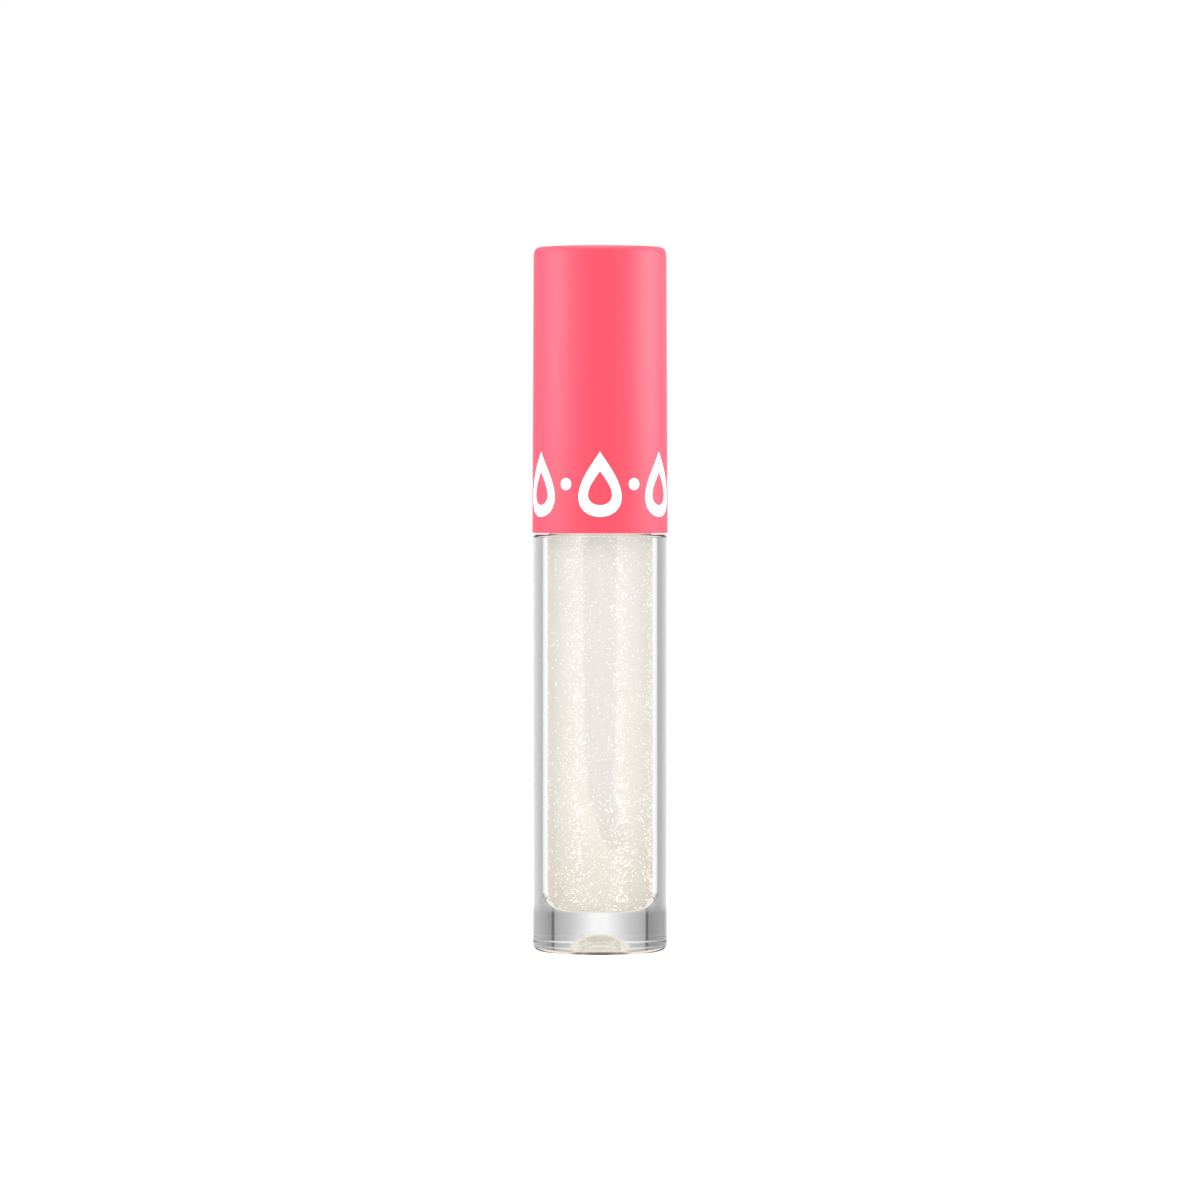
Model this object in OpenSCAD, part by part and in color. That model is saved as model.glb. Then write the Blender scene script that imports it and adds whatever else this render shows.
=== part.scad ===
// Lip gloss tube: a thick-walled clear bottle with a screw cap that carries
// the applicator wand. Millimetres, +Z up, origin at the centre of the base.

/* [Bottle] */
// Outer diameter of the bottle
bottle_d = 17; // [16.8:0.1:17.4]
// Height of the shoulder above the base
shoulder_h = 52.7; // [50:0.1:56]
// Diameter of the cavity and of the neck bore
cavity_d = 9.3; // [9.1:0.1:9.5]
// Thickness of the solid base under the cavity
floor_t = 5.05; // [4.5:0.05:6]
// Radius of the cavity's bottom corner
cavity_corner_r = 2.2; // [1.5:0.1:3.5]
// Rounding of the base's outer edge
base_edge_r = 0.9; // [0.5:0.1:1.2]
// Rounding of the shoulder's outer edge
shoulder_edge_r = 0.45; // [0.3:0.05:0.6]

/* [Neck and thread] */
// Height of the neck above the shoulder
neck_h = 11.2; // [10.8:0.1:11.6]
// Diameter of the neck under the thread
neck_d = 11.4; // [11.3:0.1:11.5]
// Diameter over the thread
thread_d = 12.95; // [12.8:0.05:13.05]
// Rise of the thread in one turn
thread_pitch = 2.117; // [2.1:0.01:2.2]
// Turns of thread on the neck
neck_turns = 1.5; // [1.25:0.25:1.5]
// Turns of thread in the cap
cap_turns = 1; // [0.75:0.25:1]

/* [Cap] */
// Diameter of the cap at its lower rim
cap_d = 17.11; // [17:0.01:17.6]
// Diameter of the cap at its top
cap_top_d = 16.79; // [16.7:0.01:17]
// Height of the cap
cap_h = 36.05; // [34:0.05:40]
// Slit between the shoulder and the cap
cap_gap = 0.2; // [0.15:0.05:0.4]
// Thickness of the printed ink
ink_t = 0.04; // [0.03:0.01:0.08]
// Number of drops printed round the cap
drop_count = 6; // [4:1:7]
// Height of a printed drop
drop_h = 8.2; // [6:0.1:9]
// Width of a printed drop
drop_w = 5.8; // [5:0.1:6]
// Width of the printed line
ink_line = 1.3; // [1:0.05:1.4]

/* [Wand] */
// Diameter of the wand's stem
stem_d = 2.66; // [2.4:0.02:2.8]
// Height of the stem's lower end above the base
stem_end_z = 23.2; // [21:0.1:26]
// Length of the applicator tip below the stem
tip_l = 10.4; // [9:0.1:11]
// Sideways lean of the tip at its end
tip_lean = 1.2; // [0.8:0.1:1.3]
// Thickness of the flock on the tip
flock_t = 0.2; // [0.15:0.01:0.25]

/* [Hidden] */
$fn = 96;

// Running clearances and small steps that several parts share
slip = 0.05;           // two parts that turn or slide on each other
film = 0.03;           // gel against the cavity wall, gasket against the insert
embed = 0.1;           // depth to which an added feature sinks into its parent

bottle_r = bottle_d / 2;
cavity_r = cavity_d / 2;
neck_r = neck_d / 2;
thread_r = thread_d / 2;
neck_top = shoulder_h + neck_h;

// Foot ring, recessed underside and the gate dimple in the middle of it
foot_w = 1.35;
recess_h = 0.7;
recess_r = bottle_r - foot_w;
dimple_r = 2.45;
dimple_h = 1.58;
dimple_top = recess_h + dimple_h;
dimple_sphere_r = (pow(dimple_r, 2) + pow(dimple_h, 2)) / (2 * dimple_h);

// Collar at the root of the neck, under the thread
collar_h = 1.4;
collar_r = thread_r - 0.015;

// Thread profile: axial width at the root and at the crest
ridge_root_w = 1.25;
ridge_crest_w = 0.52;
thread_start_z = shoulder_h + 3.6;
thread_steps = 36;
taper_turns = 0.07;
thread_play = 0.24;    // how far the cap's thread sits above mid-groove when closed
cap_thread_start = 0.25;

// Wiper
wiper_flange_t = 0.7;
wiper_flange_r = neck_r - 0.05;
wiper_top = neck_top + wiper_flange_t;
wiper_wall = 0.75;
wiper_sleeve_h = 6.4;
wiper_lip_h = 2.6;
wiper_lip_t = 0.38;
wiper_bead = 0.05;
wiper_orifice_r = stem_d / 2 + 0.08;
wiper_bottom = neck_top - wiper_sleeve_h - wiper_lip_h;

// Gel
gel_top = wiper_bottom - 0.4;
tip_bottom_z = stem_end_z - tip_l;
tip_reach = 2.35;      // radius that the leaning tip sweeps, with room to turn
gel_floor_gap = 0.6;

// Cap gasket
gasket_t = 0.8;
gasket_z = wiper_top + slip;
gasket_r = neck_r - 0.1;

// Cap insert
web_z = gasket_z + gasket_t + film;
web_t = 1.2;
skirt_z = shoulder_h + cap_gap + 0.35;
skirt_r = thread_r + 0.22;
skirt_wall = 0.72;
skirt_outer_r = skirt_r + skirt_wall;
female_crest_r = thread_r - 0.5;
rib_count = 24;
rib_h = 0.2;
rib_w = 0.6;
insert_outer_r = skirt_outer_r + rib_h;
boss_r = 3.7;
boss_h = 8.6;
vane_count = 4;
vane_t = 0.9;
vane_h = 5.6;

// Wand fixing inside the boss
plug_r = 2.5;
plug_h = 7.6;
flange_r = 3.6;
flange_t = 0.5;
snap_bead = 0.12;
shank_r = 0.75;
shank_l = 4;
socket_l = shank_l + 0.2;

// Doe-foot tip: rings along it, points round it, and where the lean and the round end begin
tip_rings = 18;
tip_sides = 28;
lean_start = 0.15;
round_start = 0.84;
tip_last = 0.999;      // share of the length at which the round end is closed flat

// Cap shell
cap_z = shoulder_h + cap_gap;
cap_top = cap_z + cap_h;
cap_r = cap_d / 2;
cap_top_r = cap_top_d / 2;
cap_bore_r = insert_outer_r;
cap_stop_z = web_z + web_t + slip;
cap_upper_bore_r = cap_bore_r - 0.35;
cap_roof_t = 1.2;
cap_top_round = [0.6, 1.1];
cap_rim_round = 0.15;
cap_rib_count = 6;
cap_bead = 0.1;

// Print band, centred on the lower part of the cap
print_mid_z = cap_z + 6.15;
drop_points = 36;
dot_r = 0.75;

// Points on a circular arc from angle a to angle b, in n steps
function arc(centre, r, a, b, n = 8) =
    [for (i = [0:n]) let (t = a + (b - a) * i / n) centre + r * [cos(t), sin(t)]];

// Points on an elliptical arc, with a radius each way
function oval_arc(centre, size, a, b, n = 8) =
    [for (i = [0:n]) let (t = a + (b - a) * i / n) centre + [size.x * cos(t), size.y * sin(t)]];

// Radius of the cap's outside at height z
function cap_r_at(z) = cap_r + (cap_top_r - cap_r) * (z - cap_z) / cap_h;

// A turned solid from an outline of [radius, height] points
module turned(points) rotate_extrude($fn = 144) polygon(points);

// One section of a helical ridge: root low, root high, crest high, crest low.
// The ridge fades in and out over taper_turns at each end.
function ridge_section(root_r, crest_r, turn, from_turn, to_turn, z0) =
    let (fade = min(1, (turn - from_turn) / taper_turns, (to_turn - turn) / taper_turns),
         depth = max(0.06, fade),
         tip_r = root_r + (crest_r - root_r) * depth,
         root_w = ridge_root_w / 2,
         tip_w = root_w + (ridge_crest_w / 2 - root_w) * depth,
         z = z0 + thread_pitch * turn,
         a = 360 * turn)
    [for (p = [[root_r, -root_w], [root_r, root_w], [tip_r, tip_w], [tip_r, -tip_w]])
        [p[0] * cos(a), p[0] * sin(a), z + p[1]]];

// A helical ridge on or in a cylinder, right-handed
module ridge(root_r, crest_r, from_turn, to_turn, z0) {
    steps = ceil((to_turn - from_turn) * thread_steps);
    points = [for (i = [0:steps])
        each ridge_section(root_r, crest_r, from_turn + (to_turn - from_turn) * i / steps,
                           from_turn, to_turn, z0)];
    sides = [for (i = [0:steps - 1], k = [0:3])
        let (a = 4 * i + k, b = 4 * i + (k + 1) % 4)
        each [[a, b, b + 4], [a, b + 4, a + 4]]];
    last = 4 * steps;
    ends = [[0, 3, 2], [0, 2, 1], [last, last + 1, last + 2], [last, last + 2, last + 3]];
    flip = crest_r < root_r;
    faces = [for (f = concat(sides, ends)) flip ? f : [f[2], f[1], f[0]]];
    polyhedron(points, faces);
}

// Outline of the space inside the bottle, down to its rounded floor
function cavity_outline(r, floor_z, top_z) =
    concat([[0, floor_z]],
           arc([r - cavity_corner_r, floor_z + cavity_corner_r], cavity_corner_r, -90, 0),
           [[r, top_z], [0, top_z]]);

// Injection-moulded bottle with a thick wall, a solid base and a threaded neck
module bottle() {
    mouth = 0.25;
    color([0.93, 0.94, 0.95, 0.4])
    difference() {
        union() {
            turned(concat(
                [[0, 0]],
                arc([bottle_r - base_edge_r, base_edge_r], base_edge_r, -90, 0),
                arc([bottle_r - shoulder_edge_r, shoulder_h - shoulder_edge_r],
                    shoulder_edge_r, 0, 90, 6),
                [[collar_r, shoulder_h], [collar_r, shoulder_h + collar_h],
                 [neck_r, shoulder_h + collar_h + 0.3], [neck_r, neck_top], [0, neck_top]]));
            ridge(neck_r - embed, thread_r, 0, neck_turns, thread_start_z);
        }
        turned(cavity_outline(cavity_r, floor_t, neck_top + 1));
        translate([0, 0, neck_top - mouth])
            cylinder(h = 2 * mouth, r1 = cavity_r, r2 = cavity_r + 2 * mouth);
        translate([0, 0, -1])
            cylinder(h = 1 + recess_h, r = recess_r);
        intersection() {
            translate([0, 0, dimple_top - dimple_sphere_r]) sphere(r = dimple_sphere_r);
            cylinder(h = dimple_top + 1, r = dimple_r + 1);
        }
    }
}

// The gel, with the channel that the wand stands in
module gloss_gel() {
    color([0.95, 0.93, 0.89])
    difference() {
        turned(cavity_outline(cavity_r - film, floor_t + film, gel_top));
        translate([0, 0, tip_bottom_z - gel_floor_gap])
            cylinder(h = gel_top, r = tip_reach);
    }
}

// Soft plug in the neck: a flange on the rim, a sleeve, and a cone that ends in the wiping lip
module wiper() {
    sleeve_r = cavity_r;
    bore_r = sleeve_r - wiper_wall;
    cone_z = neck_top - wiper_sleeve_h;
    color([0.96, 0.96, 0.95, 0.8])
    turned([
        [wiper_orifice_r, wiper_bottom],
        [wiper_orifice_r + wiper_lip_t, wiper_bottom],
        [sleeve_r - 0.35, cone_z],
        [sleeve_r, cone_z + 0.35],
        [sleeve_r, neck_top - 3.4],
        [sleeve_r + wiper_bead, neck_top - 3.1],
        [sleeve_r, neck_top - 2.8],
        [sleeve_r, neck_top - 0.25],
        [sleeve_r + 0.25, neck_top],
        [wiper_flange_r, neck_top],
        [wiper_flange_r, wiper_top - 0.2],
        [wiper_flange_r - 0.2, wiper_top],
        [bore_r + 0.5, wiper_top],
        [bore_r, wiper_top - 0.5],
        [bore_r, cone_z + 0.2],
        [wiper_orifice_r, wiper_bottom + 0.55]]);
}

// Outer shell of the cap, with a stop and a bead that hold the insert
module cap_shell() {
    rib_top = cap_top - cap_roof_t - 0.5;
    color([1.0, 0.38, 0.46])
    union() {
        turned(concat(
            [[cap_bore_r, cap_z]],
            arc([cap_r - cap_rim_round, cap_z + cap_rim_round], cap_rim_round, -90, 0, 4),
            oval_arc([cap_top_r - cap_top_round.x, cap_top - cap_top_round.y],
                     cap_top_round, 0, 90, 10),
            [[0, cap_top], [0, cap_top - cap_roof_t]],
            arc([cap_upper_bore_r - 0.8, cap_top - cap_roof_t - 0.8], 0.8, 90, 0, 5),
            [[cap_upper_bore_r, cap_stop_z], [cap_bore_r, cap_stop_z],
             [cap_bore_r, skirt_z - slip], [cap_bore_r - cap_bead, skirt_z - slip - 0.1],
             [cap_bore_r, skirt_z - slip - 0.25]]));
        for (i = [0:cap_rib_count - 1])
            rotate(360 * i / cap_rib_count)
                translate([cap_upper_bore_r - 0.35, -0.4, cap_stop_z])
                    cube([0.35 + 2 * embed, 0.8, rib_top - cap_stop_z]);
    }
}

// Outline of a drop, h tall and w wide, with its point upwards
function drop(w, h) =
    [for (i = [0:drop_points - 1])
        let (t = 360 * i / drop_points)
        [w * 0.65 * sin(t) * pow(sin(t / 2), 1.3), h / 2 * cos(t)]];

// One open drop of the print, in the flat
module open_drop() {
    difference() {
        polygon(drop(drop_w, drop_h));
        translate([0, -0.14 * drop_h + ink_line / 2])
            polygon(drop(drop_w - 2 * ink_line, drop_h - 3 * ink_line));
    }
}

// White ink: a ring of open drops with a dot between each two
module cap_print() {
    low = print_mid_z - drop_h;
    high = print_mid_z + drop_h;
    color("white")
    intersection() {
        difference() {
            translate([0, 0, low])
                cylinder(h = high - low, r1 = cap_r_at(low) + ink_t, r2 = cap_r_at(high) + ink_t);
            translate([0, 0, low])
                cylinder(h = high - low, r1 = cap_r_at(low), r2 = cap_r_at(high));
        }
        for (i = [0:drop_count - 1]) {
            rotate([90, 0, 360 * i / drop_count])
                translate([0, print_mid_z, cap_r / 2])
                    linear_extrude(cap_r) open_drop();
            rotate([90, 0, 360 * (i + 0.5) / drop_count])
                translate([0, print_mid_z, cap_r / 2])
                    cylinder(h = cap_r, r = dot_r);
        }
    }
}

// Inner cap: threaded skirt, web, and the boss that grips the wand
module cap_insert() {
    web_top = web_z + web_t;
    color([0.97, 0.97, 0.96])
    difference() {
        union() {
            difference() {
                translate([0, 0, skirt_z])
                    cylinder(h = web_top - skirt_z, r = skirt_outer_r);
                translate([0, 0, skirt_z - 1])
                    cylinder(h = web_z - skirt_z + 1, r = skirt_r);
                translate([0, 0, skirt_z - embed])
                    cylinder(h = 0.4 + embed, r1 = skirt_r + 0.4, r2 = skirt_r);
            }
            for (i = [0:rib_count - 1])
                rotate(360 * i / rib_count)
                    translate([skirt_outer_r - embed, -rib_w / 2, skirt_z])
                        cube([embed + rib_h, rib_w, web_top - skirt_z]);
            translate([0, 0, web_top - embed])
                cylinder(h = boss_h + embed, r = boss_r);
            for (i = [0:vane_count - 1])
                rotate(360 * i / vane_count + 45)
                    translate([boss_r - embed, -vane_t / 2, web_top - embed])
                        cube([cap_upper_bore_r - 0.5 - boss_r, vane_t, vane_h + embed]);
            ridge(skirt_r + embed, female_crest_r, cap_thread_start, cap_thread_start + cap_turns,
                  thread_start_z - thread_pitch / 2 + thread_play);
        }
        translate([0, 0, web_z - 1])
            cylinder(h = 1 + plug_h + flange_t, r = plug_r);
        translate([0, 0, web_z - 1])
            cylinder(h = 1 + flange_t, r = flange_r + slip);
    }
}

// Foam ring that seals against the wiper's flange
module cap_gasket() {
    color([0.9, 0.9, 0.88])
    translate([0, 0, gasket_z])
        difference() {
            cylinder(h = gasket_t, r = gasket_r);
            translate([0, 0, -gasket_t])
                cylinder(h = 3 * gasket_t, r = stem_d / 2 + slip);
        }
}

// Moulded stem with a flange and a snap plug at its upper end and a socket at its lower end
module wand_stem() {
    stem_r = stem_d / 2;
    flange_top = web_z + flange_t;
    plug_top = web_z + plug_h + flange_t;
    color([0.96, 0.96, 0.98])
    difference() {
        turned([
            [0, stem_end_z],
            [stem_r - 0.15, stem_end_z],
            [stem_r, stem_end_z + 0.15],
            [stem_r, web_z],
            [flange_r, web_z],
            [flange_r, flange_top],
            [plug_r, flange_top],
            [plug_r, plug_top - 3.2],
            [plug_r + snap_bead, plug_top - 2.9],
            [plug_r, plug_top - 2.6],
            [plug_r, plug_top - 0.4],
            [plug_r - 0.4, plug_top],
            [0, plug_top]]);
        translate([0, 0, stem_end_z - 1])
            cylinder(h = 1 + socket_l, r = shank_r);
    }
}

// Ring of points round the doe-foot at share s of its length, drawn in by inset.
// The section is an oval that leans sideways, widens, and closes at a round end.
function tip_half_x(s) = 1.16 - 0.2 * pow(s, 2);
function tip_half_y(s) = 1.16 + 0.42 * sin(90 * min(1, 1.5 * s));
function tip_lean_at(s) = tip_lean * (1 - cos(180 * max(0, s - lean_start) / (1 - lean_start))) / 2;
function tip_end(s) = sqrt(max(0, 1 - pow(max(0, (s - round_start) / (1 - round_start)), 2)));
function tip_ring(s, inset) =
    let (centre_x = tip_lean_at(s),
         half_x = max(0.04, tip_half_x(s) * tip_end(s) - inset),
         half_y = max(0.04, tip_half_y(s) * tip_end(s) - inset),
         z = stem_end_z - s * (tip_l - inset))
    [for (k = [0:tip_sides - 1])
        let (a = 360 * k / tip_sides)
        [centre_x + half_x * cos(a), half_y * sin(a), z - 0.35 * s * half_x * cos(a)]];

// A closed doe-foot from share s0 of the tip's length to its end
module doe_foot(inset, s0 = 0) {
    shares = [for (i = [0:tip_rings]) s0 + (tip_last - s0) * sin(90 * i / tip_rings)];
    points = [for (s = shares) each tip_ring(s, inset)];
    sides = [for (i = [0:tip_rings - 1], k = [0:tip_sides - 1])
        let (a = tip_sides * i + k, b = tip_sides * i + (k + 1) % tip_sides)
        each [[a, b, b + tip_sides], [a, b + tip_sides, a + tip_sides]]];
    last = tip_sides * tip_rings;
    start_cap = [[for (k = [tip_sides - 1:-1:0]) k]];
    end_cap = [[for (k = [0:tip_sides - 1]) last + k]];
    polyhedron(points, concat(sides, start_cap, end_cap));
}

// Soft moulded core of the tip, with the shank that plugs into the stem
module tip_core() {
    color([0.94, 0.94, 0.96])
    union() {
        doe_foot(flock_t);
        translate([0, 0, stem_end_z - 2 * embed])
            cylinder(h = shank_l + 2 * embed, r = shank_r);
    }
}

// Flock on the core, open at the top where the core meets the stem
module tip_flock() {
    color([0.98, 0.98, 1.0])
    difference() {
        doe_foot(0, 0.04);
        doe_foot(flock_t);
    }
}

bottle();
gloss_gel();
wiper();
cap_shell();
cap_print();
cap_insert();
cap_gasket();
wand_stem();
tip_core();
tip_flock();
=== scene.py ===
import math
import random

import bmesh
import bpy
from mathutils import Matrix, Vector


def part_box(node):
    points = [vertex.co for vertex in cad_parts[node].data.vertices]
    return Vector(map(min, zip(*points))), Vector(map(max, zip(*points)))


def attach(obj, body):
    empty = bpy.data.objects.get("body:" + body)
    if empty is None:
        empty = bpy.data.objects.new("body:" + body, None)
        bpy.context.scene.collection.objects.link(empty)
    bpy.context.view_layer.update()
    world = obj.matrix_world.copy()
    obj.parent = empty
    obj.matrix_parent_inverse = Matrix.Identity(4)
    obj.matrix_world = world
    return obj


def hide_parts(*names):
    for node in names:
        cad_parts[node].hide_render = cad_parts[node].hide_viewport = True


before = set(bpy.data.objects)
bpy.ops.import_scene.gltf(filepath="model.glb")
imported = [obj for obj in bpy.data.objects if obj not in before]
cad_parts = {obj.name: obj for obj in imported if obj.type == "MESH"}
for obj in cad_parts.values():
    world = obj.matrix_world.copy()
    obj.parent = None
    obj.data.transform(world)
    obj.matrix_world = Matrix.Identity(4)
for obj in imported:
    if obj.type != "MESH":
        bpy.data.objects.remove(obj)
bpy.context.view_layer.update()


# ---------------------------------------------------------------------------------------------
# Bottle. Injection moulded from clear PETG: a wall almost as thick as the bore is wide, a solid
# base that stands on a foot ring, and a neck with a right-hand thread. The bore is wetted by gel
# up to the fill line, and a wetted wall bends light far less than a dry one.
MM = 0.001
FINE = 192
bottle_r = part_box("bottle")[1].x / MM
neck_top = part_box("bottle")[1].z / MM
fill_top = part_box("gloss_gel")[1].z / MM
shoulder_z = 52.7
shoulder_round = 0.45
base_round = 0.9
foot_inner_r = 7.15
foot_round = 0.15
recess_z = 0.7
dimple_r = 2.45
dimple_h = 1.58
collar_r = 6.46
collar_h = 1.4
neck_r = 5.7
bore_r = 4.65
floor_z = 5.05
floor_round = 2.2
mouth_chamfer = 0.25
petg_ior = 1.57
gel_ior = 1.46
thread_depth = 0.775
thread_pitch = 2.117
thread_root_w = 1.25
thread_crest_w = 0.52
thread_fade = 0.07
neck_thread_z = 56.3
neck_thread_turns = (0, 1.5)
thread_ring = 0.1
thread_ring_count = 64
hold = 0.03
near = 0.01


def arc(r, z, radius, start, end, steps=8):
    """Points of a round stretch of an outline, centred on (r, z), between two angles in degrees."""
    angles = [math.radians(start + (end - start) * i / steps) for i in range(steps + 1)]
    return [(r + radius * math.cos(a), z + radius * math.sin(a)) for a in angles]


def held(outline, closed):
    """Adds a point near each end of every long straight stretch, so that it is shaded flat."""
    points = []
    for (r, z), (next_r, next_z) in zip(outline, outline[1:] + outline[:1]):
        points.append((r, z))
        long = math.hypot(next_r - r, next_z - z)
        if long > 8 * hold:
            step_r, step_z = (next_r - r) * hold / long, (next_z - z) * hold / long
            points += [(r + step_r, z + step_z), (next_r - step_r, next_z - step_z)]
    return points if closed else points[:points.index(outline[-1]) + 1]


def turned(outline, closed=False):
    """A bmesh turned from an outline of (radius, height) points in millimetres."""
    bm = bmesh.new()
    points = [bm.verts.new((r, 0, z)) for r, z in held(outline, closed)]
    for pair in zip(points, points[1:] + points[:1] if closed else points[1:]):
        bm.edges.new(pair)
    bmesh.ops.spin(bm, geom=bm.verts[:] + bm.edges[:], cent=(0, 0, 0), axis=(0, 0, 1),
                   angle=math.tau, steps=FINE, use_merge=True)
    bmesh.ops.remove_doubles(bm, verts=bm.verts, dist=1e-4)
    return bm


def thread_height(x, y, z, turns, start_z):
    """How far a helical ridge stands out, from 0 at its root to 1 at its crest, at one point."""
    tallest = 0
    for lap in (0, 1):
        turn = (math.atan2(y, x) / math.tau) % 1 + lap
        away = abs(z - start_z - thread_pitch * turn)
        flank = (thread_root_w / 2 - away) / (thread_root_w / 2 - thread_crest_w / 2)
        fade = min(turn - turns[0], turns[1] - turn) / thread_fade
        tallest = max(tallest, min(1, flank) * min(1, fade) if min(flank, fade) > 0 else 0)
    return tallest


def in_scene(bm, name, *finishes, sharp=35):
    """Closes the seams, points the faces outwards and puts the piece in the scene, in metres."""
    bmesh.ops.remove_doubles(bm, verts=bm.verts, dist=1e-4)
    bmesh.ops.recalc_face_normals(bm, faces=bm.faces)
    bmesh.ops.scale(bm, vec=(MM, MM, MM), verts=bm.verts)
    mesh = bpy.data.meshes.new(name)
    bm.to_mesh(mesh)
    bm.free()
    mesh.shade_smooth()
    mesh.set_sharp_from_angle(angle=math.radians(sharp))
    for finish in finishes:
        mesh.materials.append(finish)
    piece = bpy.data.objects.new(name, mesh)
    bpy.context.scene.collection.objects.link(piece)
    return piece


def finish_of(name, **settings):
    """A material on one Principled shader; a setting's name is its socket's, with _ for a space."""
    material = bpy.data.materials.new(name)
    material.use_nodes = True
    shader = material.node_tree.nodes["Principled BSDF"]
    for setting, value in settings.items():
        shader.inputs[setting.replace("_", " ")].default_value = value
    return material, shader


def add(material, kind, **settings):
    """A new node in a material; a setting is a property of the node or the name of its socket."""
    made = material.node_tree.nodes.new(kind)
    for setting, value in settings.items():
        if hasattr(made, setting):
            setattr(made, setting, value)
        else:
            made.inputs[setting.replace("_", " ")].default_value = value
    return made


def grain(material, shader, size_mm, height_mm, stretch=(1, 1, 1), detail=3):
    """A fine moulded or coated texture: raises the surface a little, in grains of one size."""
    link = material.node_tree.links.new
    place = add(material, "ShaderNodeTexCoord")
    turn = add(material, "ShaderNodeMapping")
    turn.inputs["Scale"].default_value = stretch
    noise = add(material, "ShaderNodeTexNoise", Scale=1 / (size_mm * MM), Detail=detail)
    bump = add(material, "ShaderNodeBump", Strength=1.0, Distance=height_mm * MM)
    link(place.outputs["Object"], turn.inputs["Vector"])
    link(turn.outputs["Vector"], noise.inputs["Vector"])
    link(noise.outputs["Fac"], bump.inputs["Height"])
    link(bump.outputs["Normal"], shader.inputs["Normal"])
    return noise


def spread(material, source, socket, low, high, start=0.3, end=0.7):
    """Drives a socket between two values with a pattern."""
    link = material.node_tree.links.new
    scale = add(material, "ShaderNodeMapRange")
    for name, value in (("From Min", start), ("From Max", end), ("To Min", low), ("To Max", high)):
        scale.inputs[name].default_value = value
    link(source, scale.inputs["Value"])
    link(scale.outputs["Result"], socket)


dimple_ball = (dimple_r ** 2 + dimple_h ** 2) / (2 * dimple_h)
dimple_edge = math.degrees(math.acos(dimple_r / dimple_ball))
thread_rings = [(neck_r, shoulder_z + 2.3 + thread_ring * i) for i in range(thread_ring_count)]
bottle_outline = (
    arc(0, recess_z + dimple_h - dimple_ball, dimple_ball, 90, dimple_edge, 16)
    + arc(foot_inner_r - 0.25, recess_z - 0.25, 0.25, 90, 0, 5)
    + arc(foot_inner_r + foot_round, foot_round, foot_round, 180, 270, 4)
    + arc(bottle_r - base_round, base_round, base_round, -90, 0, 14)
    + arc(bottle_r - shoulder_round, shoulder_z - shoulder_round, shoulder_round, 0, 90, 9)
    + arc(collar_r + 0.15, shoulder_z + 0.15, 0.15, 270, 180, 3)
    + arc(collar_r - 0.2, shoulder_z + collar_h - 0.2, 0.2, 0, 60, 4)
    + [(neck_r, shoulder_z + collar_h + 0.3)]
    + thread_rings
    + arc(neck_r - 0.2, neck_top - 0.2, 0.2, 0, 90, 4)
    + [(bore_r + mouth_chamfer, neck_top), (bore_r, neck_top - mouth_chamfer), (bore_r, fill_top)]
    + arc(bore_r - floor_round, floor_z + floor_round, floor_round, 0, -90, 18)
    + [(0, floor_z)]
)
bm = turned(bottle_outline)
for vert in bm.verts:
    x, y, z = vert.co
    if z > shoulder_z + collar_h and math.hypot(x, y) > neck_r - near:
        stands = 1 + thread_height(x, y, z, neck_thread_turns, neck_thread_z) * thread_depth / neck_r
        vert.co = (x * stands, y * stands, z)
for face in bm.faces:
    centre = face.calc_center_median()
    in_bore = math.hypot(centre.x, centre.y) < bore_r + near
    face.material_index = int(in_bore and floor_z - near < centre.z < fill_top)

clear_petg, shader = finish_of("clear_petg", Base_Color=(0.985, 0.99, 0.99, 1), Roughness=0.0,
                               IOR=petg_ior, Transmission_Weight=1.0)
grain(clear_petg, shader, 5.0, 0.002, (1, 1, 0.25), 1)
wetted_petg, shader = finish_of("wetted_petg", Base_Color=(0.99, 0.985, 0.975, 1), Roughness=0.0,
                                IOR=petg_ior / gel_ior, Transmission_Weight=1.0)
grain(wetted_petg, shader, 4.0, 0.002, (1, 1, 0.3), 1)
bottle = in_scene(bm, "bottle_body", clear_petg, wetted_petg)
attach(bottle, "bottle")
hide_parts("bottle")


# ---------------------------------------------------------------------------------------------
# Gel. A thick pearly gloss that fills the bore to just under the wiper and closes round the
# wand. It is cloudy, so the wand shows through it faintly. Its own colour is cream, painted
# darker and creamier towards the bottom as shade, with a faint painted glow over it all.
clear_film = 0.05
gel_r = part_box("gloss_gel")[1].x / MM - clear_film
gel_floor_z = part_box("gloss_gel")[0].z / MM + clear_film
gel_round = floor_round - (gel_floor_z - floor_z)
meniscus = 0.25
meniscus_gap = 0.02
fleck_size = 0.16
fleck_cut = 0.86
bm = turned(
    [(0, gel_floor_z)]
    + arc(gel_r - gel_round, gel_floor_z + gel_round, gel_round, -90, 0, 18)
    + arc(gel_r - meniscus - meniscus_gap, fill_top, meniscus, 0, -90, 5)
    + [(0, fill_top - meniscus)]
)

# Emission here is a painted glow, standing in for light scattered inside the gel: it is no lamp.
pearl_gel_shade_and_glow, shader = finish_of("pearl_gel_shade_and_glow", Roughness=0.42, Specular_IOR_Level=0.5, Alpha=0.75,
                               Emission_Color=(1, 0.965, 0.91, 1), Emission_Strength=0.2)
link = pearl_gel_shade_and_glow.node_tree.links.new
place = add(pearl_gel_shade_and_glow, "ShaderNodeTexCoord")
split = add(pearl_gel_shade_and_glow, "ShaderNodeSeparateXYZ")
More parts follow.
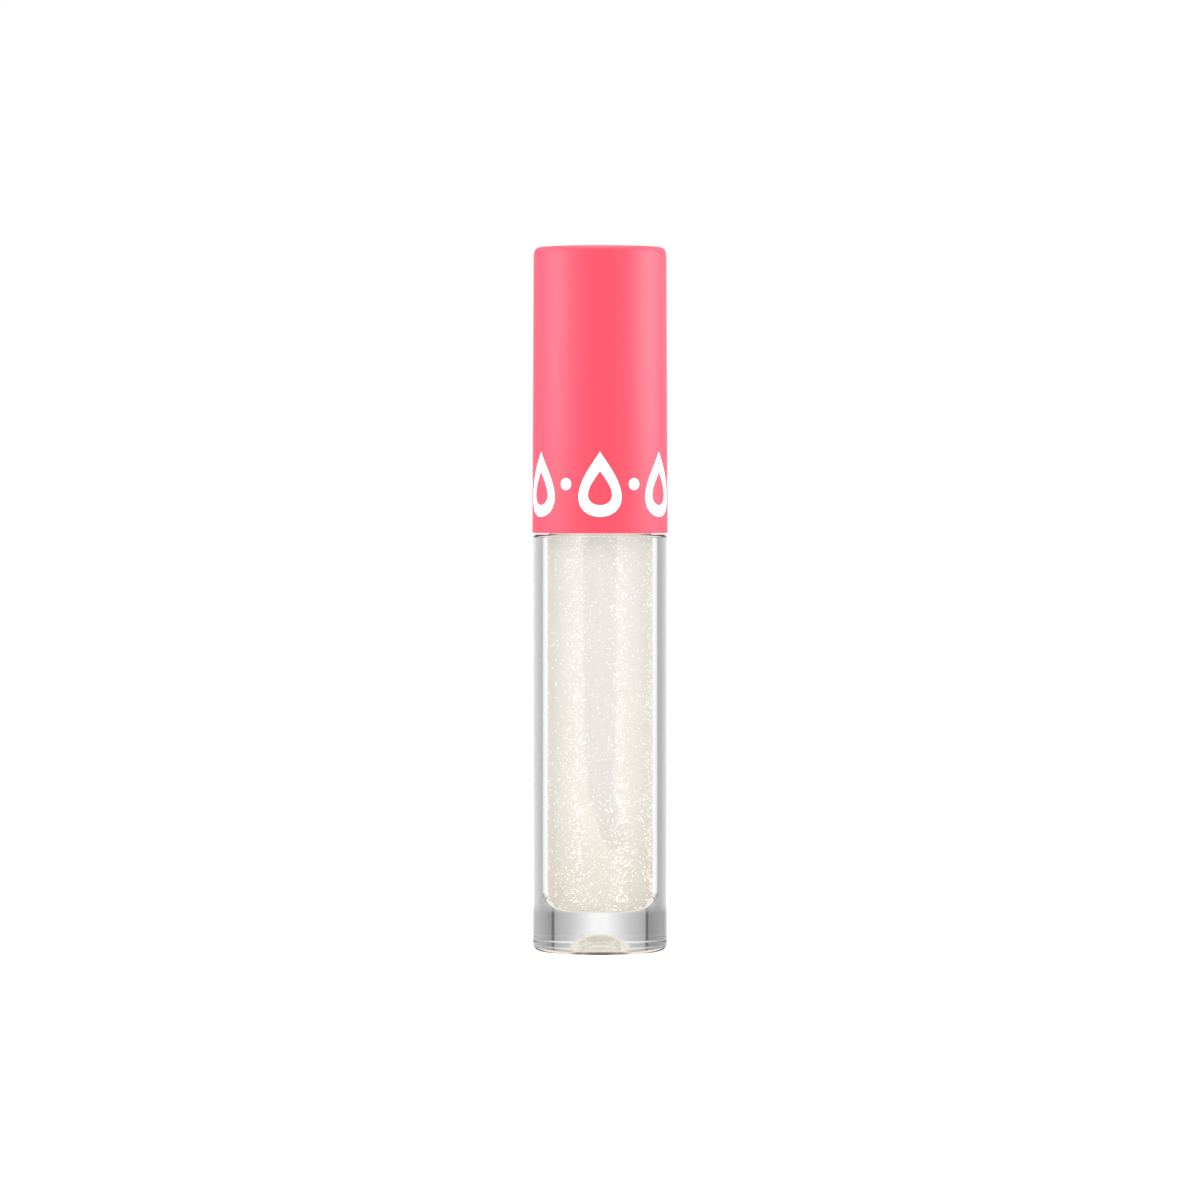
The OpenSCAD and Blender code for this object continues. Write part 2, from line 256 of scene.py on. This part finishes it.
# Painted shade: the height from the gel's floor to the fill line drives a ramp, darker and creamier at
# the bottom, the gel's own cream at the top.
depth = add(pearl_gel_shade_and_glow, "ShaderNodeMapRange")
depth.inputs["From Min"].default_value = gel_floor_z * MM
depth.inputs["From Max"].default_value = fill_top * MM
gel_shade_ramp = add(pearl_gel_shade_and_glow, "ShaderNodeValToRGB")
gel_shade_ramp.color_ramp.elements[0].color = (0.74, 0.665, 0.555, 1)
gel_shade_ramp.color_ramp.elements[1].color = (0.985, 0.955, 0.91, 1)
middle = gel_shade_ramp.color_ramp.elements.new(0.3)
middle.color = (0.94, 0.89, 0.82, 1)
link(place.outputs["Object"], split.inputs["Vector"])
link(split.outputs["Z"], depth.inputs["Value"])
link(depth.outputs["Result"], gel_shade_ramp.inputs["Fac"])
grain(pearl_gel_shade_and_glow, shader, 0.35, 0.02, (1, 1, 0.6))
flecks = add(pearl_gel_shade_and_glow, "ShaderNodeTexVoronoi", Scale=1 / (fleck_size * MM))
link(place.outputs["Object"], flecks.inputs["Vector"])
cell = add(pearl_gel_shade_and_glow, "ShaderNodeSeparateColor")
link(flecks.outputs["Color"], cell.inputs["Color"])
bright = add(pearl_gel_shade_and_glow, "ShaderNodeMapRange")
bright.inputs["From Min"].default_value = fleck_cut
link(cell.outputs["Red"], bright.inputs["Value"])
shine = add(pearl_gel_shade_and_glow, "ShaderNodeMixRGB", Color2=(1.0, 0.995, 0.98, 1))
link(bright.outputs["Result"], shine.inputs["Fac"])
link(gel_shade_ramp.outputs["Color"], shine.inputs["Color1"])
link(shine.outputs["Color"], shader.inputs["Base Color"])
spread(pearl_gel_shade_and_glow, cell.outputs["Green"], shader.inputs["Roughness"], 0.3, 0.55, 0, 1)
gel = in_scene(bm, "gloss_gel_fill", pearl_gel_shade_and_glow)
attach(gel, "gloss")
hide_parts("gloss_gel")


# ---------------------------------------------------------------------------------------------
# Glitter. Thin six-sided flakes of coated film stirred into the gel. Most lie near the wall and
# roughly flat against it, because the fill drags them along it, and the coarsest have sunk. Their
# film has a painted glow, which stands in for glints and makes them brighter than the gel.
flake_count = 5600
flake_t = 0.015
flake_r = (0.035, 0.08)
coarse_flake_r = (0.055, 0.105)
coarse_share = 0.1
coarse_top = 20
flake_tilt = 0.25
flake_film_share = (0.25, 0.95)
streaks = (238, 297, 350, 45, 110, 170)
streak_spread = 8
streak_share = 0.58
tint_size = 0.9
random.seed(7)

carrier = bpy.data.meshes.new("carrier")


def added(bm, part):
    """Moves one bmesh's shape into another."""
    part.to_mesh(carrier)
    part.free()
    bm.from_mesh(carrier)


def scattered(bm, shape, count, place):
    """Adds many copies of a small shape to a bmesh, each at a place of its own."""
    for _ in range(count):
        one = shape.copy()
        bmesh.ops.transform(one, matrix=place(), verts=one.verts)
        added(bm, one)
    shape.free()


def flake_place():
    """Where one flake lies in the gel, how big it is and how it is tilted."""
    coarse = random.random() < coarse_share
    height = random.uniform(gel_floor_z + 0.3, coarse_top if coarse else fill_top - 0.5)
    size = random.uniform(*(coarse_flake_r if coarse else flake_r))
    below_round = max(0, gel_floor_z + gel_round - height)
    room = gel_r - gel_round + math.sqrt(gel_round ** 2 - below_round ** 2)
    out = room + clear_film * random.uniform(*flake_film_share)
    if random.random() < streak_share:
        around = math.radians(random.gauss(random.choice(streaks), streak_spread))
    else:
        around = random.uniform(0, math.tau)
    lie = Matrix.Rotation(around, 4, "Z") @ Matrix.Rotation(math.pi / 2, 4, "Y")
    nod = Matrix.Rotation(random.gauss(0, flake_tilt), 4, "X")
    tilt = nod @ Matrix.Rotation(random.gauss(0, flake_tilt), 4, "Y")
    spot = Matrix.Translation((out * math.cos(around), out * math.sin(around), height))
    return spot @ lie @ tilt @ Matrix.Diagonal((size, size, 1, 1))


bm, flake = bmesh.new(), bmesh.new()
bmesh.ops.create_cone(flake, cap_ends=True, segments=6, radius1=1, radius2=1, depth=flake_t)
scattered(bm, flake, flake_count, flake_place)

# Emission here is a painted glow, standing in for glints: the flakes are no lamp.
glinting_flake_film, shader = finish_of("glinting_flake_film", Roughness=0.2,
                               Emission_Color=(1, 1, 1, 1), Emission_Strength=0.55)
tint = add(glinting_flake_film, "ShaderNodeTexVoronoi", Scale=1 / (tint_size * MM))
hues = add(glinting_flake_film, "ShaderNodeValToRGB")
hues.color_ramp.elements[0].color = (1.0, 0.93, 0.86, 1)
hues.color_ramp.elements[1].color = (0.93, 0.97, 1.0, 1)
place = add(glinting_flake_film, "ShaderNodeTexCoord")
cell = add(glinting_flake_film, "ShaderNodeSeparateColor")
link = glinting_flake_film.node_tree.links.new
link(place.outputs["Object"], tint.inputs["Vector"])
link(tint.outputs["Color"], cell.inputs["Color"])
link(cell.outputs["Red"], hues.inputs["Fac"])
link(hues.outputs["Color"], shader.inputs["Base Color"])
glitter = in_scene(bm, "gloss_glitter", glinting_flake_film)
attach(glitter, "gloss")


# ---------------------------------------------------------------------------------------------
# Wiper. A soft LDPE plug pushed into the neck: its flange lies on the rim, its sleeve grips the
# bore, and its cone ends in the lip that strips the stem and the tip as the wand is drawn.
wiper_r, wiper_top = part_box("wiper")[1].x / MM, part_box("wiper")[1].z / MM
lip_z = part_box("wiper")[0].z / MM
sleeve_wall = 0.75
sleeve_l = 6.4
cone_z = neck_top - sleeve_l
lip_r = 1.41
lip_t = 0.38
bm = turned(
    arc(lip_r + lip_t / 2, lip_z + lip_t / 2, lip_t / 2, 180, 300, 6)
    + [(bore_r - 0.35, cone_z), (bore_r, cone_z + 0.35), (bore_r, neck_top - mouth_chamfer),
       (bore_r + mouth_chamfer, neck_top)]
    + arc(wiper_r - 0.1, neck_top + 0.1, 0.1, -90, 0, 3)
    + arc(wiper_r - 0.2, wiper_top - 0.2, 0.2, 0, 90, 5)
    + arc(bore_r - sleeve_wall + 0.5, wiper_top - 0.5, 0.5, 90, 180, 6)
    + [(bore_r - sleeve_wall, cone_z + 0.2), (lip_r, lip_z + 0.55)],
    closed=True,
)
soft_ldpe, shader = finish_of("soft_ldpe", Base_Color=(0.90, 0.90, 0.88, 1), Roughness=0.4)
cloud = grain(soft_ldpe, shader, 0.5, 0.01)
spread(soft_ldpe, cloud.outputs["Fac"], shader.inputs["Roughness"], 0.32, 0.5)
wiper = in_scene(bm, "wiper_plug", soft_ldpe)
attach(wiper, "bottle")
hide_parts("wiper")


# ---------------------------------------------------------------------------------------------
# Cap shell. Moulded ABS with a slight draft, sprayed outside with a pink soft-touch coat. Inside
# are a stop for the insert, six locating ribs above it and a snap bead under it.
cap_low_r, cap_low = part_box("cap_shell")[1].x / MM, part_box("cap_shell")[0].z / MM
cap_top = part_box("cap_shell")[1].z / MM
insert_r, insert_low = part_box("cap_insert")[1].x / MM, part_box("cap_insert")[0].z / MM
cap_top_r = 8.395
cap_roof = 1.2
cap_edge_in = 0.6
cap_edge_drop = 1.1
stop_z = 66.73
upper_bore_r = insert_r - 0.35
rib_count = 6
rib_top = cap_top - cap_roof - 0.5


def cap_r_at(z):
    """Radius of the cap's outside at a height, both in millimetres."""
    return cap_low_r + (cap_top_r - cap_low_r) * (z - cap_low) / (cap_top - cap_low)


def ribbed(bm, count, first, middle, size):
    """Adds a ring of upright ribs: (radius, bottom, top) of each and its depth and width."""
    r, low, high = middle
    for rib in range(count):
        turn = Matrix.Rotation(math.tau * (rib + first) / count, 4, "Z")
        place = Matrix.Translation((r, 0, (low + high) / 2))
        bmesh.ops.create_cube(bm, size=1, matrix=turn @ place @ Matrix.Diagonal((*size, high - low, 1)))


cap_edge = [(cap_top_r - cap_edge_in + cap_edge_in * math.cos(a),
             cap_top - cap_edge_drop + cap_edge_drop * math.sin(a))
            for a in (math.pi / 2 * i / 14 for i in range(15))]
bm = turned(
    arc(insert_r + 0.1, cap_low + 0.1, 0.1, 180, 270, 3)
    + arc(cap_low_r - 0.15, cap_low + 0.15, 0.15, -90, 0, 5)
    + cap_edge
    + [(0, cap_top), (0, cap_top - cap_roof)]
    + arc(upper_bore_r - 0.8, cap_top - cap_roof - 0.8, 0.8, 90, 0, 6)
    + [(upper_bore_r, stop_z), (insert_r, stop_z), (insert_r, insert_low - 0.05),
       (insert_r - 0.1, insert_low - 0.13), (insert_r, insert_low - 0.22)],
    closed=True,
)
ribbed(bm, rib_count, 0, (upper_bore_r - 0.1, stop_z, rib_top), (0.5, 0.8))

soft_touch, shader = finish_of("soft_touch_pink", Base_Color=(1.0, 0.058, 0.094, 1), Roughness=0.48,
                               Specular_IOR_Level=0.25)
speckle = grain(soft_touch, shader, 0.09, 0.0035, detail=4)
spread(soft_touch, speckle.outputs["Fac"], shader.inputs["Roughness"], 0.44, 0.52)
shell = in_scene(bm, "cap_shell_pink", soft_touch)
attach(shell, "cap")
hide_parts("cap_shell")


# ---------------------------------------------------------------------------------------------
# Printed band. White ink pad-printed on the cap after the coat: a ring of open drops with a dot
# between each two, as a film a few hundredths of a millimetre thick.
print_low, print_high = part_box("cap_print")[0].z / MM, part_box("cap_print")[1].z / MM
drop_count = 6
drop_w = 5.8
drop_h = print_high - print_low
ink_line = 1.3
ink_t = 0.04
dot_r = 0.75
drop_points = 120


def drop_edge(bm, w, h, lift):
    """The closed outline of one drop, point upwards, drawn flat in x and z."""
    ring = []
    for i in range(drop_points):
        t = math.tau * i / drop_points
        x = w * 0.65 * math.sin(t) * math.sin(t / 2) ** 1.3
        ring.append(bm.verts.new((x, 0, lift + h / 2 * math.cos(t))))
    return [bm.edges.new((a, b)) for a, b in zip(ring, ring[1:] + ring[:1])]


def open_drop():
    """One flat drop: the band between an outer and a smaller, lower outline."""
    bm = bmesh.new()
    outer = drop_edge(bm, drop_w, drop_h, 0)
    inner = drop_edge(bm, drop_w - 2 * ink_line, drop_h - 3 * ink_line, ink_line / 2 - 0.14 * drop_h)
    bmesh.ops.bridge_loops(bm, edges=outer + inner)
    across = [e for e in bm.edges if e.is_manifold]
    bmesh.ops.subdivide_edges(bm, edges=across, cuts=3, use_grid_fill=True)
    return bm


def dot():
    """One flat dot."""
    bm = bmesh.new()
    bmesh.ops.create_circle(bm, cap_ends=True, segments=48, radius=dot_r,
                            matrix=Matrix.Rotation(math.pi / 2, 4, "X"))
    bmesh.ops.inset_region(bm, faces=bm.faces[:], thickness=dot_r / 2)
    return bm


def inked(flat, around, mid_z):
    """Gives flat ink its thickness and lays it on the cap: x runs round the cap and z up it."""
    raised = bmesh.ops.extrude_face_region(flat, geom=flat.faces[:])["geom"]
    for vert in (v for v in raised if isinstance(v, bmesh.types.BMVert)):
        vert.co.y = ink_t
    for vert in flat.verts:
        r = cap_r_at(mid_z + vert.co.z)
        angle = around + vert.co.x / r
        r += vert.co.y
        vert.co = (r * math.sin(angle), -r * math.cos(angle), mid_z + vert.co.z)
    return flat


bm = bmesh.new()
print_mid = (print_low + print_high) / 2
for place in range(2 * drop_count):
    flat = dot() if place % 2 else open_drop()
    added(bm, inked(flat, math.tau * place / (2 * drop_count), print_mid))

white_ink, shader = finish_of("white_ink", Base_Color=(0.93, 0.93, 0.93, 1), Roughness=0.5)
mottle = grain(white_ink, shader, 0.12, 0.002)
spread(white_ink, mottle.outputs["Fac"], shader.inputs["Roughness"], 0.42, 0.56)
ink = in_scene(bm, "cap_print_band", white_ink)
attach(ink, "cap")
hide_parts("cap_print")


# ---------------------------------------------------------------------------------------------
# Cap insert. Natural PP, pushed up into the shell until it meets the stop: a skirt with the
# female thread, ribs that grip the shell, a web, and a boss with vanes that holds the wand.
insert_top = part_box("cap_insert")[1].z / MM
web_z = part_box("cap_gasket")[1].z / MM + 0.03
web_t = 1.2
skirt_r = 6.695
skirt_outer_r = insert_r - 0.2
female_depth = 0.72
cap_thread_z = neck_thread_z - thread_pitch / 2 + 0.24
cap_thread_turns = (0.25, 1.25)
grip_rib_count = 24
vane_count = 4
vane_t = 0.9
vane_h = 5.6
boss_r = 3.7
stem_flange_r = 3.65
flange_t = 0.5
plug_bore_r = 2.5
plug_bore_top = web_z + 8.1
bm = turned(
    [(skirt_r + 0.4, insert_low), (skirt_r, insert_low + 0.4)]
    + [(skirt_r, insert_low + 0.7 + thread_ring * i) for i in range(thread_ring_count)]
    + [(skirt_r, web_z), (stem_flange_r, web_z), (stem_flange_r, web_z + flange_t),
       (plug_bore_r, web_z + flange_t), (plug_bore_r, plug_bore_top), (0, plug_bore_top), (0, insert_top)]
    + arc(boss_r - 0.3, insert_top - 0.3, 0.3, 90, 0, 4)
    + [(boss_r, web_z + web_t)]
    + arc(skirt_outer_r - 0.2, web_z + web_t - 0.2, 0.2, 90, 0, 4)
    + [(skirt_outer_r, insert_low)],
    closed=True,
)
for vert in bm.verts:
    x, y, z = vert.co
    if z < web_z and math.hypot(x, y) < skirt_r + near:
        stands = 1 - thread_height(x, y, z, cap_thread_turns, cap_thread_z) * female_depth / skirt_r
        vert.co = (x * stands, y * stands, z)
web_top = web_z + web_t
ribbed(bm, grip_rib_count, 0, (insert_r - 0.15, insert_low + 0.01, web_top - 0.01), (0.3, 0.6))
ribbed(bm, vane_count, 0.5, ((boss_r + upper_bore_r - 0.5) / 2, web_top, web_top + vane_h),
       (upper_bore_r - 0.3 - boss_r, vane_t))

natural_pp, shader = finish_of("natural_pp", Base_Color=(0.90, 0.90, 0.89, 1), Roughness=0.35)
flow = grain(natural_pp, shader, 0.8, 0.01, (1, 1, 0.4))
spread(natural_pp, flow.outputs["Fac"], shader.inputs["Roughness"], 0.3, 0.45)
insert = in_scene(bm, "cap_insert_pp", natural_pp)
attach(insert, "cap")
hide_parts("cap_insert")


# ---------------------------------------------------------------------------------------------
# Gasket. A ring punched from closed-cell PE foam that lies in the insert round the stem and is
# squeezed on the wiper's flange when the cap is tight.
gasket_low, gasket_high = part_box("cap_gasket")[0].z / MM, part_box("cap_gasket")[1].z / MM
gasket_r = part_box("cap_gasket")[1].x / MM
gasket_bore_r = 1.38
bm = turned(
    arc(gasket_bore_r + 0.05, gasket_low + 0.05, 0.05, 180, 270, 3)
    + arc(gasket_r - 0.1, gasket_low + 0.1, 0.1, -90, 0, 4)
    + arc(gasket_r - 0.1, gasket_high - 0.1, 0.1, 0, 90, 4)
    + arc(gasket_bore_r + 0.05, gasket_high - 0.05, 0.05, 90, 180, 3),
    closed=True,
)
foam, shader = finish_of("pe_foam", Base_Color=(0.82, 0.82, 0.80, 1), Roughness=0.75)
cells = grain(foam, shader, 0.14, 0.03, detail=1)
spread(foam, cells.outputs["Fac"], shader.inputs["Roughness"], 0.65, 0.85)
gasket = in_scene(bm, "cap_gasket_foam", foam)
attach(gasket, "liner")
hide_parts("cap_gasket")


# ---------------------------------------------------------------------------------------------
# Wand stem. Milky PP moulded in one with its flange and snap plug, which is pressed up into the
# insert's boss. A socket in its lower end takes the tip's shank.
stem_low, stem_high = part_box("wand_stem")[0].z / MM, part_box("wand_stem")[1].z / MM
stem_r = 1.33
socket_r = 0.75
socket_l = 4.2
stem_flange = 3.6
bm = turned(
    [(0, stem_low + socket_l), (socket_r, stem_low + socket_l), (socket_r, stem_low)]
    + arc(stem_r - 0.15, stem_low + 0.15, 0.15, -90, 0, 5)
    + [(stem_r + 0.2, web_z), (stem_flange, web_z), (stem_flange, web_z + flange_t),
       (plug_bore_r, web_z + flange_t),
       (plug_bore_r, stem_high - 3.2), (plug_bore_r + 0.12, stem_high - 2.9),
       (plug_bore_r, stem_high - 2.6), (plug_bore_r, stem_high - 0.4),
       (plug_bore_r - 0.4, stem_high), (0, stem_high)]
)
milky_pp, shader = finish_of("milky_pp", Base_Color=(0.66, 0.67, 0.70, 1), Roughness=0.3)
flow = grain(milky_pp, shader, 0.6, 0.006, (1, 1, 0.15))
spread(milky_pp, flow.outputs["Fac"], shader.inputs["Roughness"], 0.24, 0.38)
stem = in_scene(bm, "wand_stem_pp", milky_pp)
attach(stem, "cap")
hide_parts("wand_stem")


# ---------------------------------------------------------------------------------------------
# Doe-foot tip. A soft core whose shank plugs into the stem, leaning to one side, and over it a
# coat of short nylon flock that holds the gloss.
tip_l = stem_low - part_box("tip_flock")[0].z / MM
tip_lean = 1.2
flock_t = 0.2
lean_start = 0.15
round_start = 0.84
tip_half_x = 1.16
tip_flare = 0.42
shank_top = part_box("tip_core")[1].z / MM
fibre_count = 4200
fibre_r = (0.016, 0.006)
fibre_l = (0.06, 0.1)
fibre_lean = 0.35


def tip_section(share):
    """Centre and half sizes, in millimetres, of the tip at a share of its length."""
    lean = tip_lean * (1 - math.cos(math.pi * max(0, share - lean_start) / (1 - lean_start))) / 2
    end = math.sqrt(max(0.0004, 1 - max(0, (share - round_start) / (1 - round_start)) ** 2))
    wide = tip_half_x + tip_flare * math.sin(math.pi / 2 * min(1, 1.5 * share))
    return lean, (tip_half_x - 0.2 * share ** 2) * end, wide * end


def tip_point(share, angle, inset):
    """A point on the tip's surface, drawn in by an inset."""
    lean, half_x, half_y = tip_section(share)
    half_x, half_y = max(0.02, half_x - inset), max(0.02, half_y - inset)
    drop = share * (tip_l - inset) + 0.35 * share * half_x * math.cos(angle)
    return Vector((lean + half_x * math.cos(angle), half_y * math.sin(angle), stem_low - drop))


def doe_foot(inset, first_share, bm):
    """Adds the leaning tip, a rod of rings drawn to its shape ring by ring."""
    rod = bmesh.new()
    bmesh.ops.create_cone(rod, cap_ends=True, segments=64, radius1=1, radius2=1, depth=1)
    upright = [e for e in rod.edges if abs(e.verts[0].co.z - e.verts[1].co.z) > 0.5]
    bmesh.ops.subdivide_edges(rod, edges=upright, cuts=47)
    for vert in rod.verts:
        x, y, z = vert.co
        share = first_share + (0.999 - first_share) * math.sin(math.pi / 2 * min(1, 0.5 - z))
        vert.co = tip_point(share, math.atan2(y, x), inset)
    added(bm, rod)


bm = bmesh.new()
doe_foot(flock_t, 0, bm)
shank_mid = (shank_top + stem_low) / 2 - 0.1
bmesh.ops.create_cone(bm, cap_ends=True, segments=64, radius1=socket_r, radius2=socket_r,
                      depth=shank_top - stem_low + 0.2, matrix=Matrix.Translation((0, 0, shank_mid)))
soft_core, shader = finish_of("soft_core", Base_Color=(0.64, 0.65, 0.74, 1), Roughness=0.5)
skin = grain(soft_core, shader, 0.3, 0.008)
spread(soft_core, skin.outputs["Fac"], shader.inputs["Roughness"], 0.42, 0.58)
core = in_scene(bm, "tip_core_soft", soft_core)
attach(core, "cap")
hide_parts("tip_core")


def fibre_place():
    """Where one flock fibre is rooted on the tip, how long it is and which way it leans."""
    share = random.uniform(0.045, 0.998)
    angle = random.uniform(0, math.tau)
    outward = (tip_point(share, angle, 0) - tip_point(share, angle, flock_t)).normalized()
    lean = (outward + Vector([random.gauss(0, fibre_lean) for _ in range(3)])).normalized()
    stretch = Matrix.Diagonal((1, 1, random.uniform(*fibre_l), 1))
    stand = lean.to_track_quat("Z", "Y").to_matrix().to_4x4()
    return Matrix.Translation(tip_point(share, angle, 0.08)) @ stand @ stretch


bm, fibre = bmesh.new(), bmesh.new()
bmesh.ops.create_cone(fibre, cap_ends=True, segments=3, radius1=fibre_r[0], radius2=fibre_r[1], depth=1,
                      matrix=Matrix.Translation((0, 0, 0.5)))
scattered(bm, fibre, fibre_count, fibre_place)
doe_foot(0.05, 0.04, bm)
nylon_flock, shader = finish_of("nylon_flock", Base_Color=(0.62, 0.63, 0.74, 1), Roughness=0.8,
                                Sheen_Weight=0.5, Sheen_Roughness=0.5)
nap = grain(nylon_flock, shader, 0.07, 0.02, detail=2)
spread(nylon_flock, nap.outputs["Fac"], shader.inputs["Roughness"], 0.7, 0.95)
flock = in_scene(bm, "tip_flock_nylon", nylon_flock)
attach(flock, "cap")
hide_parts("tip_flock")


# ---------------------------------------------------------------------------------------------
# Studio. A pale floor in white surroundings that turn darker to the sides, with two thin dark
# edges behind, so that the clear wall shows. They are dimmer to matt surfaces, so that the white
# wand isn't lost when drawn. Steep directions behind are painted brown, then cream: painted
# shadow and light in place of the floor under the base. A soft lamp hangs overhead, and two side
# cards light the cap.
floor_r = 900
brightest = 1.5
matt_share = 0.36
even_sweep = ((-180, 1.5), (-118, 1.45), (-82, 0.52), (-68, 0.42), (-53, 0.33), (-40, 0.52),
              (-28, 0.76), (-12, 1.02), (0, 1.12), (12, 1.02), (28, 0.76), (40, 0.55), (53, 0.40),
              (60, 0.5), (78, 0.58), (118, 1.45), (179.9, 1.5))
edged_sweep = ((-180, 0.9), (-95, 0.8), (-70, 0.34), (-47, 0.26), (-37.5, 0.22), (-35.9, 0.01),
               (-34.4, 0.01), (-33.6, 0.36), (-29, 0.42), (-20, 0.53), (-13, 0.69), (-4, 0.94),
               (4, 0.94), (13, 0.69), (20, 0.53), (29, 0.42), (33.6, 0.36), (34.4, 0.01),
               (35.9, 0.01), (37.5, 0.24), (47, 0.36), (60, 0.44), (70, 0.5), (95, 0.8), (179.9, 0.9))
edged_from = (0.0715, 0.0735)
edged_to = (0.2, 0.3)
# Painted shadow and light in the surroundings: steep directions behind turn brown, then cream, in place
# of the floor under the base as seen through the clear wall.
painted_floor_from = (0.25, 0.27)
painted_shadow_brown = (0.16, 0.12, 0.06, 1)
painted_light_cream = (0.58, 0.54, 0.47, 1)
bm = bmesh.new()
bmesh.ops.create_circle(bm, cap_ends=True, segments=96, radius=floor_r)
pale, shader = finish_of("pale_floor", Base_Color=(0.9, 0.9, 0.9, 1), Roughness=1.0,
                         Specular_IOR_Level=0.0, Emission_Color=(1, 1, 1, 1), Emission_Strength=0.75)
floor = in_scene(bm, "floor", pale)
floor.visible_transmission = False
floor.visible_glossy = False

sky = bpy.data.worlds.new("studio")
bpy.context.scene.world = sky
sky.cycles.sampling_method = "NONE"
sky.use_nodes = True
nodes, link = sky.node_tree.nodes, sky.node_tree.links.new
nodes.clear()


def share_of(source, span):
    """How far a value has come from one end of a span to the other, held between 0 and 1."""
    share = nodes.new("ShaderNodeMapRange")
    share.inputs["From Min"].default_value, share.inputs["From Max"].default_value = span
    link(source, share.inputs["Value"])
    return share.outputs["Result"]


def worked(operation, *sources):
    """The result of one step of arithmetic on one or two values."""
    step = nodes.new("ShaderNodeMath")
    step.operation = operation
    for source, socket in zip(sources, step.inputs):
        link(source, socket)
    return step.outputs["Value"]


def sweep(stops):
    """Brightness round the object by angle from the middle of the back, right side positive."""
    ramp = nodes.new("ShaderNodeValToRGB")
    ends = ramp.color_ramp.elements
    ends.remove(ends[1])
    for angle, level in stops:
        shade = level / brightest
        ends.new((angle + 180) / 360).color = (shade, shade, shade, 1)
    ends.remove(ends[0])
    link(turn, ramp.inputs["Fac"])
    return ramp.outputs["Color"]


direction = nodes.new("ShaderNodeTexCoord")
axes = nodes.new("ShaderNodeSeparateXYZ")
link(direction.outputs["Generated"], axes.inputs["Vector"])
turn = share_of(worked("ARCTAN2", axes.outputs["X"], axes.outputs["Y"]), (-math.pi, math.pi))
steep = worked("ABSOLUTE", axes.outputs["Z"])
ground = nodes.new("ShaderNodeMix")
link(worked("SUBTRACT", share_of(steep, edged_from), share_of(steep, edged_to)), ground.inputs["Factor"])
link(sweep(even_sweep), ground.inputs["A"])
link(sweep(edged_sweep), ground.inputs["B"])
# The brown and cream ramp: painted shadow, then painted light, by how steep the direction is.
painted_floor_ramp = nodes.new("ShaderNodeValToRGB")
for end, place, colour in zip(painted_floor_ramp.color_ramp.elements, (0.30, 0.345), (painted_shadow_brown, painted_light_cream)):
    end.position, end.color = place, colour
link(steep, painted_floor_ramp.inputs["Fac"])
shaded = nodes.new("ShaderNodeMixRGB")
painted_floor_share = worked("MULTIPLY", share_of(steep, painted_floor_from), share_of(axes.outputs["Y"], (0, 0.25)))
link(painted_floor_share, shaded.inputs["Fac"])
link(ground.outputs["Result"], shaded.inputs["Color1"])
link(painted_floor_ramp.outputs["Color"], shaded.inputs["Color2"])
path = nodes.new("ShaderNodeLightPath")
level = nodes.new("ShaderNodeMapRange")
level.inputs["To Min"].default_value = brightest
level.inputs["To Max"].default_value = brightest * matt_share
link(path.outputs["Is Diffuse Ray"], level.inputs["Value"])
lit = nodes.new("ShaderNodeBackground")
link(shaded.outputs["Color"], lit.inputs["Color"])
link(level.outputs["Result"], lit.inputs["Strength"])
seen = nodes.new("ShaderNodeBackground")
seen.inputs["Color"].default_value = (1, 1, 1, 1)
pick = nodes.new("ShaderNodeMixShader")
link(path.outputs["Is Camera Ray"], pick.inputs["Fac"])
link(lit.outputs["Background"], pick.inputs[1])
link(seen.outputs["Background"], pick.inputs[2])
out = nodes.new("ShaderNodeOutputWorld")
link(pick.outputs["Shader"], out.inputs["Surface"])


def soft_lamp(name, size, brightness, place, target, lit_only=None):
    """An even area lamp of one brightness, out of sight of the lens and of the clear wall."""
    lamp = bpy.data.lights.new(name, "AREA")
    lamp.shape = "RECTANGLE"
    lamp.size, lamp.size_y = size
    lamp.energy = brightness * math.pi * size[0] * size[1]
    stand = bpy.data.objects.new(name, lamp)
    stand.location = place
    stand.rotation_euler = (Vector(target) - Vector(place)).to_track_quat("-Z", "Y").to_euler()
    stand.visible_camera = False
    stand.visible_transmission = False
    stand.light_linking.receiver_collection = lit_only
    bpy.context.scene.collection.objects.link(stand)


cap_outside = bpy.data.collections.new("cap_outside")
for piece in (shell, ink):
    cap_outside.objects.link(piece)
card_size, card_z = (0.045, 0.07), 0.0895
soft_lamp("overhead", (0.34, 0.34), 8, (0, 0, 0.45), (0, 0, 0.08))
soft_lamp("right_card", card_size, 8, (0.0695, -0.0065, card_z), (0, 0, card_z), cap_outside)
soft_lamp("left_card", card_size, 6.5, (-0.067, -0.02, card_z), (0, 0, card_z), cap_outside)

# The camera stands level with the upper bottle and looks a degree down, through a long lens.
eye = Vector((0, -0.7089, 0.05685))
aim = Vector((0, 0, 0.0444))
lens = bpy.data.cameras.new("camera")
lens.sensor_width = 36
lens.lens = 168
lens.clip_start = 0.05
camera = bpy.data.objects.new("camera", lens)
camera.location = eye
camera.rotation_euler = (aim - eye).to_track_quat("-Z", "Y").to_euler()
bpy.context.scene.collection.objects.link(camera)
bpy.context.scene.camera = camera
bpy.context.scene.view_settings.view_transform = "Standard"
